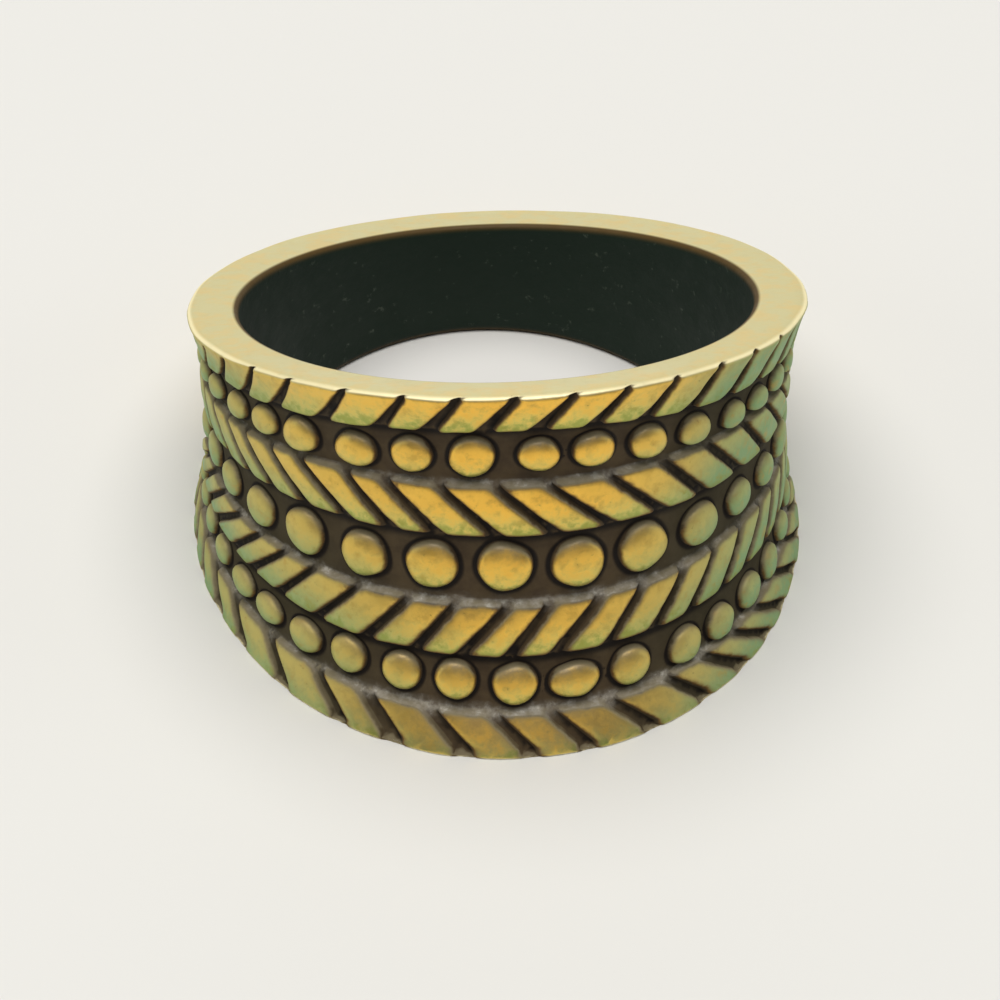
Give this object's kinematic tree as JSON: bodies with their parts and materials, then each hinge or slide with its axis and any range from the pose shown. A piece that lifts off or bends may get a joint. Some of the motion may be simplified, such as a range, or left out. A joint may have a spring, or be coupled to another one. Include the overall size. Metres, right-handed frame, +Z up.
{
  "type": "band ring",
  "caption": "Wide tapered band ring in antiqued cast brass, with rows of raised beads between rows of slanted bars, lying on its lower rim.",
  "frame": {"origin": "middle of the footprint on the lower rim, on the surface that the ring lies on", "axes": "+Z up from the surface it lies on, -Y towards the wide front of the band, +X to the right as the front is seen"},
  "size_m": [0.0218, 0.0238, 0.0146],
  "materials": {
    "brass": "cast brass, worn bright on the raised tops and rims, dark brown patina in the ground and inside"
  },
  "bodies": {
    "root": {"ring_band": "brass"}
  },
  "joints": []
}
